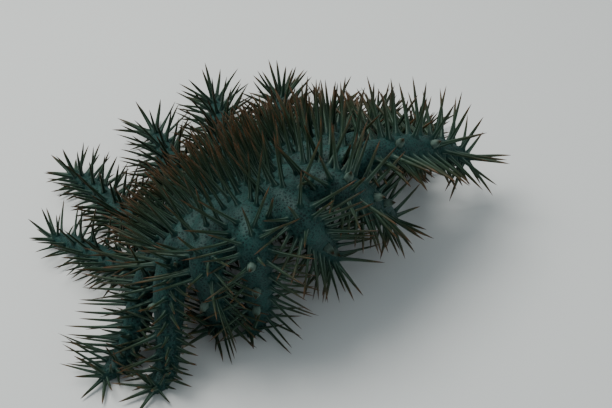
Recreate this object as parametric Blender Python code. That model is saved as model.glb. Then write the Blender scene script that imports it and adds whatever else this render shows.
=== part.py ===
"""Crown of thorns starfish, a still life-size model.

A wide disc, humped and tilted so that its near side stands high, carries fifteen
arms. Twelve of them run down to the floor and three hang free. Long tapered spines
stand on the disc and on each arm. Metres, +Z up, floor at z = 0, origin at the middle
of the footprint.
"""
import math
import random

import bmesh
import bpy
import numpy as np
from mathutils import Vector
from mathutils.bvhtree import BVHTree

# Driving dimensions
DISC_RADIUS = 0.0745
DISC_THICKNESS = 0.025
DISC_HEIGHT = 0.0565
DISC_PLAN_OFFSET = (0.0107, -0.0350)
FOLD_DIRECTION = 81.0
RIGHT_BEND_RADIUS = 0.399
LEFT_BEND_RADIUS = 0.131
LONG_BEND_RADIUS = 0.435
DISC_PITCH = -17.0
DISC_TILT = -17.0
RIM_POWER = 4.0
RIDGE_SWELL = 0.0030
WEB_DIP = 0.16
RIM_CROWDING = 1.3
RIM_FLAT = 0.999
DISC_BANDS = 10

ARM_COUNT = 15
FIRST_ARM_ROOT = -14.0
ARM_ROOT_RADIUS = 0.064
ARM_ROOT_HALF_WIDTH = 0.0106
ARM_MID_HALF_WIDTH = 0.0090
ARM_TIP_HALF_WIDTH = 0.0048
ARM_ROOT_HALF_HEIGHT = 0.0095
ARM_TIP_HALF_HEIGHT = 0.0042
ARM_HANDLE = 0.36
LONG_ARM = 0.100
SOLE_DEPTH = 0.0008
SOLE_BAND = 0.0012
GROOVE_DEPTH = 0.45
BACK_TURNS = (0.0, 36.0, 72.0, 106.0)
SOLE_OUTER = 0.62
SOLE_INNER = 0.26
ARM_RINGS = 10
WIDEST_AT = 0.30
TIP_ROUNDS_FROM = 0.88
TIP_BLUNTNESS = 0.20
RAISED_TIP = 0.012
LOWEST_REACH = 0.011
ROOT_DROOP = 0.75
SOLE_STARTS = 0.60
ARM_SAMPLES = 40
SOLE_ROUNDS = 20
FRAME_STEP = 0.01
WIDTH_TAPER = 1.3
LAST_STATIONS = [0.95, 1.0]

DISC_SPINE = 0.029
ARM_SPINE = 0.033
SIDE_SPINE = 0.028
TIP_SPINE = 0.028
SPINE_ROOT_RADIUS = 0.0021
SPINE_SINK = 0.0030
SPINE_SIDES = 5
SPINE_WAIST_AT = 0.55
SPINE_WAIST = 0.66

# Rings of disc spines: radius and number of spines
DISC_SPINE_RINGS = ((0.0, 1), (0.0140, 6), (0.0275, 11), (0.0410, 17), (0.0540, 21), (0.0655, 24))
DISC_RING_TURN = 9.0

# Rows of spines on an arm: degrees from the ridge, stagger, length and lean towards the tip
ARM_SPINE_ROWS = (
    (0.0, 0.05, ARM_SPINE, 0.10),
    (44.0, 0.00, ARM_SPINE, 0.16),
    (-44.0, 0.00, ARM_SPINE, 0.16),
    (84.0, 0.06, SIDE_SPINE, 0.20),
    (-84.0, 0.06, SIDE_SPINE, 0.20),
)
FIRST_SPINE_AT = 0.16
LAST_SPINE_AT = 0.92
ROOT_TO_DISC = 0.0045
LOW_ROOT = 0.012
SHORTER_OUTWARD = 0.25
THINNER_OUTWARD = 0.22
LONG_ARM_ROW = 5
SHORT_ARM_ROW = 4
OUTWARD_LEAN = 0.5
LOW_LIFT = 0.25
TIP_SPINE_TURNS = (0.0, 62.0, -62.0)
TIP_SPINES_AT = 0.985
TIP_SPINE_SPREAD = 0.002
TIP_SPINE_SHARE = 0.72
TIP_FORWARD = 1.1
TIP_LIFT = 0.25
TIP_LIFT_SPREAD = 0.6

MOUTH_RADIUS = 0.014
MOUTH_HALF_HEIGHT = 0.0045
MOUTH_SEGMENTS = 16
MOUTH_BANDS = 6

STEP = 0.001
GAP = 0.0003
MERGE = 0.00002
SPINE_CLEARANCE = 0.0005
BODY_CLEARANCE = 0.0010
BODY_SAMPLES = 22
OWN_ROOT_SHARE = 0.35
FLOOR_CLEARANCE = 0.0012
FAR = 0.05
FOOTPRINT_SHIFT = (-0.0153, -0.0133)
TRIES = 14
FIRST_SWING = 0.06
SWING_STEP = 0.05
SHORTENED = (1.0, 0.85, 0.7)
SPREAD = 0.08
TINY = 1e-18
SHARP_ANGLE = 50.0
SEED = 7

# Where each arm ends: direction, distance and height of its tip, how far the tip turns up,
# and how much the arm rises where it leaves the disc
ARM_TIPS = (
    (354.5, 0.1436, 0.03, -45.0, 0.4),
    (25.0, 0.141, 0.005, 0.0, 0.0),
    (39.0, 0.133, 0.005, 0.0, 0.0),
    (55.0, 0.128, 0.005, 0.0, 0.0),
    (73.3, 0.141, 0.005, 0.0, 0.0),
    (92.7, 0.1511, 0.005, 0.0, 0.0),
    (112.6, 0.1369, 0.005, 0.0, 0.0),
    (139.2, 0.1477, 0.005, 0.0, 0.0),
    (166.8, 0.1257, 0.005, 0.0, 0.0),
    (230.0, 0.1379, 0.005, 0.0, 0.35),
    (244.0, 0.1376, 0.005, 0.0, 0.0),
    (253.3, 0.0907, 0.006, -20.0, 0.0),
    (268.0, 0.0963, 0.006, -20.0, 0.0),
    (305.7, 0.088, 0.022, -70.0, -0.25),
    (329.0, 0.1046, 0.028, -60.0, 0.15),
)

# Material colours: red, green, blue, roughness
SKIN_COLOUR = (0.060, 0.120, 0.130, 0.55)
MOUTH_COLOUR = (0.400, 0.330, 0.230, 0.60)


def polar(radius, degrees):
    angle = math.radians(degrees)
    return radius * math.cos(angle), radius * math.sin(angle)


def disc_point(radius, degrees, offset=0.0):
    """A point of the disc, offset along its thickness, once it is humped and tilted."""
    along, across = polar(radius, degrees - FOLD_DIRECTION)
    bend = LEFT_BEND_RADIUS if across > 0.0 else RIGHT_BEND_RADIUS
    turn_a, turn_b = along / LONG_BEND_RADIUS, across / bend
    x = LONG_BEND_RADIUS * math.sin(turn_a)
    y = bend * math.sin(turn_b)
    z = LONG_BEND_RADIUS * (math.cos(turn_a) - 1) + bend * (math.cos(turn_b) - 1)
    normal = Vector((math.sin(turn_a), math.sin(turn_b), math.cos(turn_a) * math.cos(turn_b)))
    point = Vector((x, y, z)) + normal.normalized() * offset
    pitch, tilt = math.radians(DISC_PITCH), math.radians(DISC_TILT)
    x, y, z = point
    x, z = x * math.cos(pitch) - z * math.sin(pitch), x * math.sin(pitch) + z * math.cos(pitch)
    y, z = y * math.cos(tilt) - z * math.sin(tilt), y * math.sin(tilt) + z * math.cos(tilt)
    fold = math.radians(FOLD_DIRECTION)
    plan_x = x * math.cos(fold) - y * math.sin(fold) + DISC_PLAN_OFFSET[0] + FOOTPRINT_SHIFT[0]
    plan_y = x * math.sin(fold) + y * math.cos(fold) + DISC_PLAN_OFFSET[1] + FOOTPRINT_SHIFT[1]
    return Vector((plan_x, plan_y, z + DISC_HEIGHT))


def rim_share(radius):
    """Share of the full thickness that the disc has at this radius."""
    return math.sqrt(max(0.0, 1.0 - min(1.0, radius / DISC_RADIUS) ** RIM_POWER))


def flute(degrees):
    """1 along the middle of an arm, -1 half way between two arms."""
    return math.cos(math.radians(ARM_COUNT * (degrees - FIRST_ARM_ROOT)))


def disc_surface(radius, degrees, side, grow=0.0):
    """A point on the disc's skin: its rim draws in between the arms, its back swells along them."""
    share = min(1.0, radius / DISC_RADIUS)
    ridge = RIDGE_SWELL * flute(degrees) * share ** 2 if side > 0 else 0.0
    half = (0.5 * DISC_THICKNESS + ridge) * rim_share(radius) + grow
    drawn = radius * (1.0 - 0.5 * WEB_DIP * (1.0 - flute(degrees)) * share ** 4)
    return disc_point(drawn + grow * share ** 4, degrees, side * half)


def disc_top(radius, degrees):
    return disc_surface(radius, degrees, 1.0)


def disc_top_normal(radius, degrees):
    radius = max(radius, STEP)
    outward = disc_top(radius + STEP, degrees) - disc_top(radius - STEP, degrees)
    turn = math.degrees(STEP / radius)
    around = disc_top(radius, degrees + turn) - disc_top(radius, degrees - turn)
    return outward.cross(around).normalized()


def material(name, colour):
    made = bpy.data.materials.new(name)
    made.use_nodes = True
    shader = made.node_tree.nodes["Principled BSDF"]
    shader.inputs["Base Color"].default_value = (*colour[:3], 1.0)
    shader.inputs["Roughness"].default_value = colour[3]
    made.diffuse_color = (*colour[:3], 1.0)
    return made


def new_object(name, bm, collection):
    mesh = bpy.data.meshes.new(name)
    bm.to_mesh(mesh)
    bm.free()
    made = bpy.data.objects.new(name, mesh)
    collection.objects.link(made)
    return made


def disc_object(name, collection, grow):
    """The humped disc: a sphere flattened to a pillow, then bent. grow thickens it evenly."""
    bm = bmesh.new()
    bmesh.ops.create_uvsphere(bm, u_segments=2 * ARM_COUNT, v_segments=DISC_BANDS, radius=1.0)
    for vert in bm.verts:
        flat = min(1.0, math.hypot(vert.co.x, vert.co.y))
        side = math.copysign(1.0, vert.co.z)
        spread = math.sin(0.5 * math.pi * flat ** RIM_CROWDING) if flat < 1.0 else 1.0
        radius = spread * DISC_RADIUS
        degrees = math.degrees(math.atan2(vert.co.y, vert.co.x)) + FIRST_ARM_ROOT
        if flat > RIM_FLAT:
            side = 0.0
        vert.co = disc_surface(radius, degrees, side, grow)
    bmesh.ops.recalc_face_normals(bm, faces=bm.faces)
    return new_object(name, bm, collection)


def mouth_object(name, collection, grow):
    """The mouth's low dome of plates, set in the middle of the underside."""
    bm = bmesh.new()
    bmesh.ops.create_uvsphere(bm, u_segments=MOUTH_SEGMENTS, v_segments=MOUTH_BANDS, radius=1.0)
    for vert in bm.verts:
        radius = math.hypot(vert.co.x, vert.co.y) * (MOUTH_RADIUS + grow)
        degrees = math.degrees(math.atan2(vert.co.y, vert.co.x))
        height = vert.co.z * (MOUTH_HALF_HEIGHT + grow) - 0.5 * DISC_THICKNESS
        vert.co = disc_point(radius, degrees, height)
    bmesh.ops.recalc_face_normals(bm, faces=bm.faces)
    return new_object(name, bm, collection)


class Arm:
    """One arm's centre line and cross-section."""

    def __init__(self, index):
        direction, distance, height, upturn, rise = ARM_TIPS[index]
        self.name = f"arm_{index + 1:02d}"
        self.root_degrees = FIRST_ARM_ROOT + index * 360.0 / ARM_COUNT
        start = disc_point(ARM_ROOT_RADIUS, self.root_degrees)
        lead = disc_point(ARM_ROOT_RADIUS - STEP, self.root_degrees)
        tip_x, tip_y = polar(distance, direction)
        tip = Vector((tip_x + FOOTPRINT_SHIFT[0], tip_y + FOOTPRINT_SHIFT[1], height))
        span = (tip - start).length
        middle = disc_point(0.0, 0.0)
        heading = Vector((tip.x - middle.x, tip.y - middle.y, 0.0)).normalized()
        lift = math.radians(upturn)
        end = heading * math.cos(lift) + Vector((0.0, 0.0, math.sin(lift)))
        leave = (start - lead).normalized()
        fall = (start.z - tip.z) / span
        leave = (leave + Vector((0.0, 0.0, rise - ROOT_DROOP * fall ** 2))).normalized()
        above = disc_point(ARM_ROOT_RADIUS, self.root_degrees, STEP) - start
        self.root_side = leave.cross(above).normalized()
        self.tip_side = heading.cross(Vector((0.0, 0.0, 1.0)))
        press = tip - end * span * ARM_HANDLE
        reach = start + leave * span * ARM_HANDLE
        reach.z = max(reach.z, LOWEST_REACH)
        self.points = (start, reach, press, tip)
        if height < RAISED_TIP:
            outer = [SOLE_STARTS + (1.0 - SOLE_STARTS) * i / ARM_SAMPLES for i in range(ARM_SAMPLES + 1)]
            for _ in range(SOLE_ROUNDS):
                lowest = min(point.z for t in outer for point in self.outline(t))
                press.z -= lowest + SOLE_DEPTH
        line = [self.centre(i / ARM_SAMPLES) for i in range(ARM_SAMPLES + 1)]
        self.length = sum((b - a).length for a, b in zip(line, line[1:]))

    def centre(self, t):
        a, b, c, d = self.points
        s = 1.0 - t
        return a * s ** 3 + b * (3 * s * s * t) + c * (3 * s * t * t) + d * t ** 3

    def frame(self, t):
        """Forward, sideways and upward directions at t."""
        low, high = max(0.0, t - FRAME_STEP), min(1.0, t + FRAME_STEP)
        forward = (self.centre(high) - self.centre(low)).normalized()
        side = self.root_side.lerp(self.tip_side, t)
        side = (side - forward * side.dot(forward)).normalized()
        return forward, side, side.cross(forward)

    def half_sizes(self, t):
        """Half width and half height, with a rounded end."""
        if t < WIDEST_AT:
            width = ARM_ROOT_HALF_WIDTH + (ARM_MID_HALF_WIDTH - ARM_ROOT_HALF_WIDTH) * t / WIDEST_AT
        else:
            share = (t - WIDEST_AT) / (1.0 - WIDEST_AT)
            width = ARM_MID_HALF_WIDTH + (ARM_TIP_HALF_WIDTH - ARM_MID_HALF_WIDTH) * share ** WIDTH_TAPER
        height = ARM_ROOT_HALF_HEIGHT + (ARM_TIP_HALF_HEIGHT - ARM_ROOT_HALF_HEIGHT) * t
        rounding = max(0.0, t - TIP_ROUNDS_FROM) / (1.0 - TIP_ROUNDS_FROM)
        end = math.sqrt(max(TIP_BLUNTNESS ** 2, 1.0 - rounding ** 2))
        return width * end, height * end

    def surface(self, t, degrees):
        """A point on the skin: 0 degrees is the ridge, 90 the side."""
        _, side, up = self.frame(t)
        width, height = self.half_sizes(t)
        angle = math.radians(degrees)
        return self.centre(t) + side * (width * math.sin(angle)) + up * (height * math.cos(angle))

    def normal(self, t, degrees):
        _, side, up = self.frame(t)
        width, height = self.half_sizes(t)
        angle = math.radians(degrees)
        return (side * (math.sin(angle) / width) + up * (math.cos(angle) / height)).normalized()

    def outline(self, t):
        """The cross-section's corners: a round back, a flat sole and the groove of the tube feet."""
        _, side, up = self.frame(t)
        width, height = self.half_sizes(t)
        centre = self.centre(t)
        corners = [(math.sin(math.radians(turn)), math.cos(math.radians(turn))) for turn in BACK_TURNS]
        corners += [(SOLE_OUTER, -1.0), (SOLE_INNER, -1.0)]
        groove = (0.0, -1.0 + GROOVE_DEPTH)
        mirrored = [(-x, y) for x, y in corners[:0:-1]]
        outline = corners + [groove] + mirrored
        return [centre + side * (width * x) + up * (height * y) for x, y in outline]

    def section(self, t):
        """The cross-section, pressed flat where it meets the floor."""
        ring = self.outline(t)
        for point in ring:
            if point.z < SOLE_BAND:
                point.z = 0.0
        return ring


def arm_object(arm, collection):
    bm = bmesh.new()
    stations = [i / (ARM_RINGS - 3) * TIP_ROUNDS_FROM for i in range(ARM_RINGS - 2)] + LAST_STATIONS
    rings = [[bm.verts.new(point) for point in arm.section(t)] for t in stations]
    for lower, upper in zip(rings, rings[1:]):
        for i in range(len(lower)):
            j = (i + 1) % len(lower)
            bm.faces.new((lower[i], lower[j], upper[j], upper[i]))
    bm.faces.new(rings[0][::-1])
    bm.faces.new(rings[-1])
    bmesh.ops.triangulate(bm, faces=bm.faces)
    bmesh.ops.recalc_face_normals(bm, faces=bm.faces)
    return new_object(arm.name, bm, collection)


def apply_modifiers(target):
    depsgraph = bpy.context.evaluated_depsgraph_get()
    mesh = bpy.data.meshes.new_from_object(target.evaluated_get(depsgraph))
    target.modifiers.clear()
    old = target.data
    target.data = mesh
    mesh.name = target.name
    bpy.data.meshes.remove(old)


def keep_largest(target):
    """Keep only the largest closed surface of a mesh."""
    bm = bmesh.new()
    bm.from_mesh(target.data)
    bmesh.ops.remove_doubles(bm, verts=bm.verts, dist=MERGE)
    bmesh.ops.dissolve_degenerate(bm, edges=bm.edges, dist=MERGE)
    bmesh.ops.triangulate(bm, faces=bm.faces)
    twins = {}
    for face in bm.faces:
        twins.setdefault(frozenset(face.verts), []).append(face)
    folded = [face for group in twins.values() if len(group) == 2 for face in group]
    bmesh.ops.delete(bm, geom=folded, context="FACES")
    left = set(bm.faces)
    pieces = []
    while left:
        seed = left.pop()
        piece, queue = [seed], [seed]
        while queue:
            for edge in queue.pop().edges:
                for face in edge.link_faces:
                    if face in left:
                        left.remove(face)
                        piece.append(face)
                        queue.append(face)
        pieces.append(piece)

    def volume(faces):
        total = 0.0
        for face in faces:
            a, b, c = (vert.co for vert in face.verts)
            total += a.dot(b.cross(c)) / 6.0
        return abs(total)

    pieces.sort(key=volume)
    scrap = [face for piece in pieces[:-1] for face in piece]
    bmesh.ops.delete(bm, geom=scrap, context="FACES")
    bm.to_mesh(target.data)
    bm.free()


def cut(target, cutter):
    modifier = target.modifiers.new("cut", "BOOLEAN")
    modifier.operation = "DIFFERENCE"
    modifier.solver = "EXACT"
    modifier.object = cutter
    apply_modifiers(target)
    keep_largest(target)


def segment_gaps(start, end, starts, ends):
    """Shortest distances from one segment to many, with the share along each where it falls."""
    d1 = end - start
    d2 = ends - starts
    r = start - starts
    a = d1 @ d1
    e = (d2 * d2).sum(1)
    f = (d2 * r).sum(1)
    b = d2 @ d1
    c = r @ d1
    denominator = np.maximum(a * e - b * b, TINY)
    s = np.clip((b * f - c * e) / denominator, 0.0, 1.0)
    t = np.clip((b * s + f) / e, 0.0, 1.0)
    s = np.clip((b * t - c) / a, 0.0, 1.0)
    near = start + s[:, None] * d1
    other = starts + t[:, None] * d2
    return np.linalg.norm(near - other, axis=1), s, t


def spine_radius(root_radius, share):
    """Thickness of a spine: straight from root to waist, then straight to the point."""
    waist = root_radius * SPINE_WAIST
    low = root_radius + (waist - root_radius) * share / SPINE_WAIST_AT
    high = waist * (1.0 - share) / (1.0 - SPINE_WAIST_AT)
    return np.where(share < SPINE_WAIST_AT, low, high)


class Thicket:
    """All spines placed so far, with the bodies that they must clear."""

    def __init__(self, bodies):
        self.trees = {name: self.tree(body) for name, body in bodies.items()}
        self.nodes, self.starts, self.ends, self.radii = [], [], [], []
        self.random = random.Random(SEED)

    @staticmethod
    def tree(body):
        bm = bmesh.new()
        bm.from_mesh(body.data)
        made = BVHTree.FromBMesh(bm)
        bm.free()
        return made

    def clear_of_bodies(self, node, root, tip, radius):
        for name, tree in self.trees.items():
            for i in range(BODY_SAMPLES + 1):
                share = i / BODY_SAMPLES
                if name == node and share < OWN_ROOT_SHARE:
                    continue
                need = float(spine_radius(radius, np.array(share))) + BODY_CLEARANCE
                near, _, _, gap = tree.find_nearest(root.lerp(tip, share), need)
                if near is not None:
                    return False
        return True

    def clear_of_spines(self, root, tip, radius):
        if not self.starts:
            return True
        gaps, s, t = segment_gaps(np.array(root), np.array(tip), np.array(self.starts), np.array(self.ends))
        need = spine_radius(radius, s) + spine_radius(np.array(self.radii), t) + SPINE_CLEARANCE
        return bool((gaps > need).all())

    def place(self, node, root, direction, length, radius):
        """Set one spine, turned a little or shortened where it would touch something."""
        for shrink in SHORTENED:
            for attempt in range(TRIES):
                swing = FIRST_SWING + SWING_STEP * attempt
                jitter = Vector([self.random.uniform(-swing, swing) for _ in range(3)])
                heading = (direction + jitter).normalized()
                tip = root + heading * (length * shrink * self.random.uniform(1.0 - SPREAD, 1.0 + SPREAD))
                foot = root - heading * SPINE_SINK
                if tip.z < FLOOR_CLEARANCE or root.z < radius + FLOOR_CLEARANCE:
                    continue
                if self.clear_of_spines(foot, tip, radius) and self.clear_of_bodies(node, root, tip, radius):
                    self.nodes.append(node)
                    self.starts.append(tuple(foot))
                    self.ends.append(tuple(tip))
                    self.radii.append(radius)
                    return


def disc_spines(thicket):
    """Rings of spines over the disc's upper side, each ring turned against the last."""
    for number, (radius, count) in enumerate(DISC_SPINE_RINGS):
        for i in range(count):
            degrees = 360.0 * (i + 0.5 * (number % 2)) / count + DISC_RING_TURN * number
            normal = disc_top_normal(radius, degrees)
            size = SPINE_ROOT_RADIUS * thicket.random.uniform(1.0 - SPREAD, 1.0 + SPREAD)
            thicket.place("disc", disc_top(radius, degrees), normal, DISC_SPINE, size)


def arm_spines(arm, thicket, disc_tree):
    """Rows along the ridge, the shoulders and both sides, then a tuft round the tip."""
    count = LONG_ARM_ROW if arm.length > LONG_ARM else SHORT_ARM_ROW
    for degrees, stagger, length, lean in ARM_SPINE_ROWS:
        for i in range(count):
            t = FIRST_SPINE_AT + stagger + (LAST_SPINE_AT - FIRST_SPINE_AT - stagger) * i / (count - 1)
            forward, _, _ = arm.frame(t)
            root = arm.surface(t, degrees)
            near, normal, _, gap = disc_tree.find_nearest(root, FAR)
            if near is not None and (gap < ROOT_TO_DISC or (root - near).dot(normal) < 0.0):
                continue
            away = arm.normal(t, degrees) + forward * (lean + OUTWARD_LEAN * max(0.0, t - SOLE_STARTS))
            if root.z < LOW_ROOT:
                away.z += LOW_LIFT
            reach = length * (1.0 - SHORTER_OUTWARD * t)
            size = SPINE_ROOT_RADIUS * (1.0 - THINNER_OUTWARD * t)
            thicket.place(arm.name, root, away.normalized(), reach, size)
    forward, side, up = arm.frame(1.0)
    for degrees in TIP_SPINE_TURNS:
        sideways, upward = math.sin(math.radians(degrees)), math.cos(math.radians(degrees))
        root = arm.centre(TIP_SPINES_AT) + (side * sideways + up * upward) * TIP_SPINE_SPREAD
        away = forward * TIP_FORWARD + side * sideways + up * (TIP_LIFT + TIP_LIFT_SPREAD * upward)
        thicket.place(arm.name, root, away.normalized(), TIP_SPINE, SPINE_ROOT_RADIUS * TIP_SPINE_SHARE)


def spine_object(start, end, radius, collection):
    """A tapered five-sided spine with a waist, from its sunk root to its point."""
    start, end = Vector(start), Vector(end)
    axis = end - start
    bm = bmesh.new()
    bmesh.ops.create_cone(
        bm, cap_ends=True, segments=SPINE_SIDES, radius1=radius, radius2=radius * SPINE_WAIST,
        depth=SPINE_WAIST_AT)
    bmesh.ops.translate(bm, verts=bm.verts, vec=(0.0, 0.0, 0.5 * SPINE_WAIST_AT))
    top = max(bm.faces, key=lambda face: face.calc_center_median().z)
    point = bmesh.ops.poke(bm, faces=[top])["verts"][0]
    point.co.z = 1.0
    turn = axis.to_track_quat("Z", "Y").to_matrix()
    for vert in bm.verts:
        vert.co = start + turn @ Vector((vert.co.x, vert.co.y, vert.co.z * axis.length))
    bmesh.ops.recalc_face_normals(bm, faces=bm.faces)
    return new_object("spine", bm, collection)


def fuse(target, pieces):
    """Join a node's spines to it with one union, then remove them."""
    modifier = target.modifiers.new("fuse", "BOOLEAN")
    modifier.operation = "UNION"
    modifier.solver = "EXACT"
    modifier.operand_type = "COLLECTION"
    modifier.collection = pieces
    apply_modifiers(target)
    for piece in list(pieces.objects):
        mesh = piece.data
        bpy.data.objects.remove(piece)
        bpy.data.meshes.remove(mesh)
    keep_largest(target)


def finish(target, finish_material):
    target.data.materials.clear()
    target.data.materials.append(finish_material)
    target.data.shade_smooth()
    target.data.set_sharp_from_angle(angle=math.radians(SHARP_ANGLE))


def main():
    for item in list(bpy.data.objects):
        bpy.data.objects.remove(item)
    scene = bpy.context.scene
    parts = bpy.data.collections.new("crown_of_thorns_starfish")
    cutters = bpy.data.collections.new("cutters")
    scene.collection.children.link(parts)
    scene.collection.children.link(cutters)

    disc = disc_object("disc", parts, 0.0)
    mouth = mouth_object("mouth", parts, 0.0)
    disc_cutter = disc_object("disc_cutter", cutters, GAP)
    mouth_cutter = mouth_object("mouth_cutter", cutters, GAP)
    cut(disc, mouth_cutter)
    arms = [Arm(index) for index in range(ARM_COUNT)]
    bodies = {"disc": disc}
    for arm in arms:
        bodies[arm.name] = arm_object(arm, parts)
        cut(bodies[arm.name], disc_cutter)
    for cutter in (disc_cutter, mouth_cutter):
        mesh = cutter.data
        bpy.data.objects.remove(cutter)
        bpy.data.meshes.remove(mesh)

    thicket = Thicket(bodies)
    disc_spines(thicket)
    for arm in arms:
        arm_spines(arm, thicket, thicket.trees["disc"])

    for name, body in bodies.items():
        pieces = bpy.data.collections.new("pieces")
        scene.collection.children.link(pieces)
        for node, start, end, radius in zip(thicket.nodes, thicket.starts, thicket.ends, thicket.radii):
            if node == name:
                spine_object(start, end, radius, pieces)
        fuse(body, pieces)
        bpy.data.collections.remove(pieces)

    skin = material("skin", SKIN_COLOUR)
    for body in bodies.values():
        finish(body, skin.copy())
    finish(mouth, material("mouth", MOUTH_COLOUR))


main()
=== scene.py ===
"""Looks of the crown of thorns starfish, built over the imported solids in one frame."""

import math
import random

import bmesh
import bpy
import numpy as np
from mathutils import Matrix, Vector, noise
from mathutils.bvhtree import BVHTree
from mathutils.kdtree import KDTree


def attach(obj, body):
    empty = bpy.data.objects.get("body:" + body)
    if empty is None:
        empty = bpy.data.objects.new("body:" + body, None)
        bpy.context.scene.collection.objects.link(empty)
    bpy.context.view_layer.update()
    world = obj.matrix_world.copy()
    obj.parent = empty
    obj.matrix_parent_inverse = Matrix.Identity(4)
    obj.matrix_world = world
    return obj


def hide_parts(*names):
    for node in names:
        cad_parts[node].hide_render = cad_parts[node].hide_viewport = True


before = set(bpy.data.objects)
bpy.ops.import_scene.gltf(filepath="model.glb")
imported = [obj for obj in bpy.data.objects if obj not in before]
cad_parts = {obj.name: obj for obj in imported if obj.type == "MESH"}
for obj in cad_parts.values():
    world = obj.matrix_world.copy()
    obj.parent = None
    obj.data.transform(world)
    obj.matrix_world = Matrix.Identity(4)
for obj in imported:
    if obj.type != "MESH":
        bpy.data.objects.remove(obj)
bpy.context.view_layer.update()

# The solids' own sizes: the disc's humped shape and where each arm lies
DISC_RADIUS = 0.0745
DISC_THICKNESS = 0.025
DISC_HEIGHT = 0.0565
DISC_PLAN_OFFSET = (0.0107, -0.0350)
FOLD_DIRECTION = 81.0
RIGHT_BEND_RADIUS = 0.399
LEFT_BEND_RADIUS = 0.131
LONG_BEND_RADIUS = 0.435
DISC_PITCH = -17.0
DISC_TILT = -17.0
RIM_POWER = 4.0
RIDGE_SWELL = 0.0030
WEB_DIP = 0.16
ARM_COUNT = 15
FIRST_ARM_ROOT = -14.0
ARM_ROOT_RADIUS = 0.064
ARM_ROOT_HALF_WIDTH = 0.0106
ARM_MID_HALF_WIDTH = 0.0090
ARM_TIP_HALF_WIDTH = 0.0048
ARM_ROOT_HALF_HEIGHT = 0.0095
ARM_TIP_HALF_HEIGHT = 0.0042
ARM_HANDLE = 0.36
WIDEST_AT = 0.30
TIP_ROUNDS_FROM = 0.88
TIP_BLUNTNESS = 0.20
RAISED_TIP = 0.012
LOWEST_REACH = 0.011
ROOT_DROOP = 0.75
SOLE_STARTS = 0.60
SOLE_DEPTH = 0.0008
SOLE_BAND = 0.0012
GROOVE_DEPTH = 0.45
SOLE_OUTER = 0.62
SOLE_INNER = 0.26
ARM_SAMPLES = 40
SOLE_ROUNDS = 20
FRAME_STEP = 0.01
WIDTH_TAPER = 1.3
STEP = 0.001
FOOTPRINT_SHIFT = (-0.0153, -0.0133)
# Each arm's tip: direction, distance and height, upturn of the tip, and rise of the root
ARM_TIPS = (
    (354.5, 0.1436, 0.03, -45.0, 0.4),
    (25.0, 0.141, 0.005, 0.0, 0.0),
    (39.0, 0.133, 0.005, 0.0, 0.0),
    (55.0, 0.128, 0.005, 0.0, 0.0),
    (73.3, 0.141, 0.005, 0.0, 0.0),
    (92.7, 0.1511, 0.005, 0.0, 0.0),
    (112.6, 0.1369, 0.005, 0.0, 0.0),
    (139.2, 0.1477, 0.005, 0.0, 0.0),
    (166.8, 0.1257, 0.005, 0.0, 0.0),
    (230.0, 0.1379, 0.005, 0.0, 0.35),
    (244.0, 0.1376, 0.005, 0.0, 0.0),
    (253.3, 0.0907, 0.006, -20.0, 0.0),
    (268.0, 0.0963, 0.006, -20.0, 0.0),
    (305.7, 0.088, 0.022, -70.0, -0.25),
    (329.0, 0.1046, 0.028, -60.0, 0.15),
)

# The skin's own sizes
SKIN_VOXEL = 0.0013
SKIN_SMOOTHING = 7
DISC_RINGS = 44
DISC_AROUND = 240
RIM_CROWDING = 1.3
ARM_STATIONS = 44
BACK_TURNS = [7.5 * i for i in range(16)]
RIDGE_STATIONS = 14
RIDGE_AROUND = 20
RIDGE_START = 0.060
RIDGE_REACH = 0.020
RIDGE_HALF_WIDTH = 0.0095
RIDGE_NARROWING = 0.0055
RIDGE_HALF_HEIGHT = 0.0060
RIDGE_RISE = 0.0016
RIDGE_FADE = 0.7
RIDGE_LEAST_SHARE = 0.62
UNDER_GROOVE_DEPTH = 0.0030
UNDER_GROOVE_WIDTH = 0.0026
UNDER_GROOVE_START = 0.012
UNDER_GROOVE_RUN = 0.006
HIP_RISE = 0.0012
HIP_REACH = 0.42
HIP_FADE = 1.5
HIP_RADIUS = 0.024
HIP_SMOOTHING = 18
RIM_MARKS = 4 * ARM_COUNT
SLIMMER = 0.0011
SLIM_UNTIL = 0.75
LUMP = 0.00035
LUMP_SCALE = 160.0

# Every spine: its thickness, and what keeps it clear of the floor, the skin and the others
SHAFT_RADIUS = 0.00088
SPINE_SIDES = 9
ROOT_SPACING = 0.0031
ROOT_SEARCH = 0.0045
SPINE_GAP = 0.0019
CLOSER_GAP = 0.7
SHORTER_REACH = 0.75
TRIES = 12
FULL_GAP_TRIES = 6
FULL_LENGTH_TRIES = 8
LOOSENESS = 0.060
ROW_LOOSENESS = 0.045
STUB_LOOSENESS = 0.02
LOOSER_EACH_TRY = 0.015
WANTED_SHARE, NORMAL_SHARE = 0.8, 0.2
LEAST_RISE = 0.15
LOWEST_TIP = 0.0012
FLOOR_SKIM = 0.0001
RAY_START = 0.0035
RAY_LIFT = 0.001
GAP_START = 0.002
MOST_SPINES = 4000
NEARLY_PARALLEL = 1e-18
CURL = 0.05

# Profile of a spine: share of its length, and thickness as a multiple of its shaft's
PROFILE = (
    (-0.10, 3.30), (-0.02, 2.75), (0.015, 2.20), (0.05, 1.74), (0.10, 1.44), (0.17, 1.26),
    (0.28, 1.12), (0.42, 1.00), (0.56, 0.88), (0.68, 0.74), (0.79, 0.57), (0.89, 0.36),
    (0.96, 0.15), (1.0, 0.03),
)
BOW = 0.55
EDGES, FLUTES = 3.0, 4.0
EDGE_DEPTH = 0.20
EDGES_FROM = 0.5
EDGES_RUN = 0.25
FLUTE_DEPTH = 0.10
FLUTES_UNTIL = 0.3
PATCH = 0.003

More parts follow.
